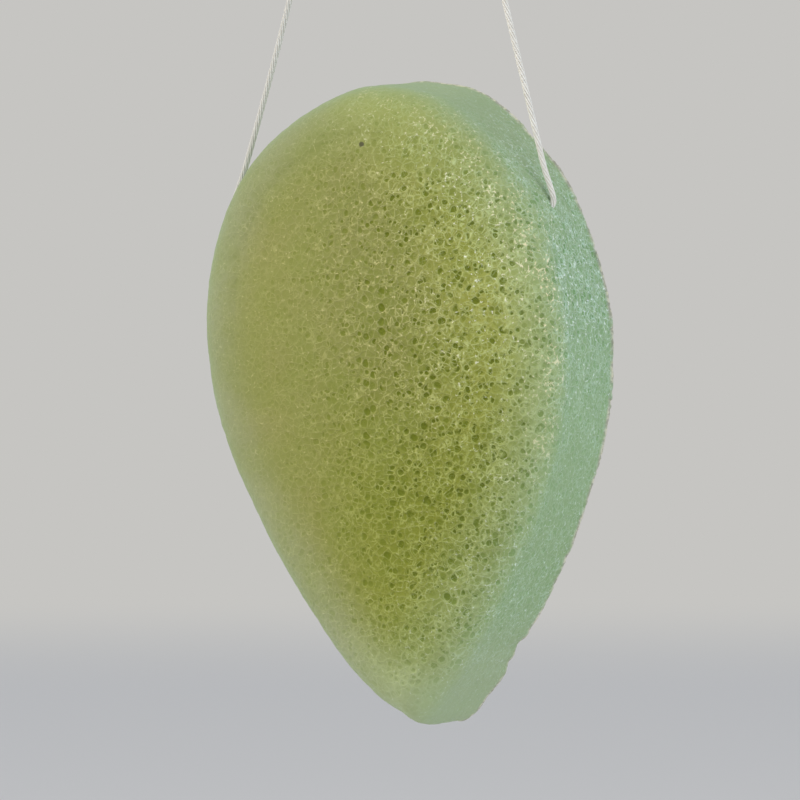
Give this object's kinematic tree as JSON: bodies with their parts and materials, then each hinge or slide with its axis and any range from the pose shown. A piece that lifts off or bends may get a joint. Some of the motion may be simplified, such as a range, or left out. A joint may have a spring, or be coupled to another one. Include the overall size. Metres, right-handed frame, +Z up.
{
  "type": "hanging bath sponge",
  "caption": "Drop-shaped konjac foam sponge with a flat back and a domed front, hung on a knotted loop of cotton string that passes through it.",
  "frame": {"origin": "inside the top of the string loop, at the crook just under the knot, where a hook carries it", "axes": "+Z up, as it hangs; +Y out of the flat back; the domed front faces -Y; +X to the right seen from the front"},
  "size_m": [0.0536, 0.022, 0.1595],
  "materials": {
    "konjac_foam": "moist open-pored foam",
    "cotton_string": "twisted, matt"
  },
  "bodies": {
    "string": {"string_inside": "cotton_string", "string_left": "cotton_string", "string_right": "cotton_string", "knot": "cotton_string"},
    "sponge": {"sponge": "konjac_foam"}
  },
  "joints": [
    {"name": "sponge_swing", "type": "hinge", "parent": "string", "child": "sponge", "pos_m": [-0.0019, 0, -0.0855], "axis": [0.995, 0, 0.0995], "range_deg": [-60, 30]}
  ]
}
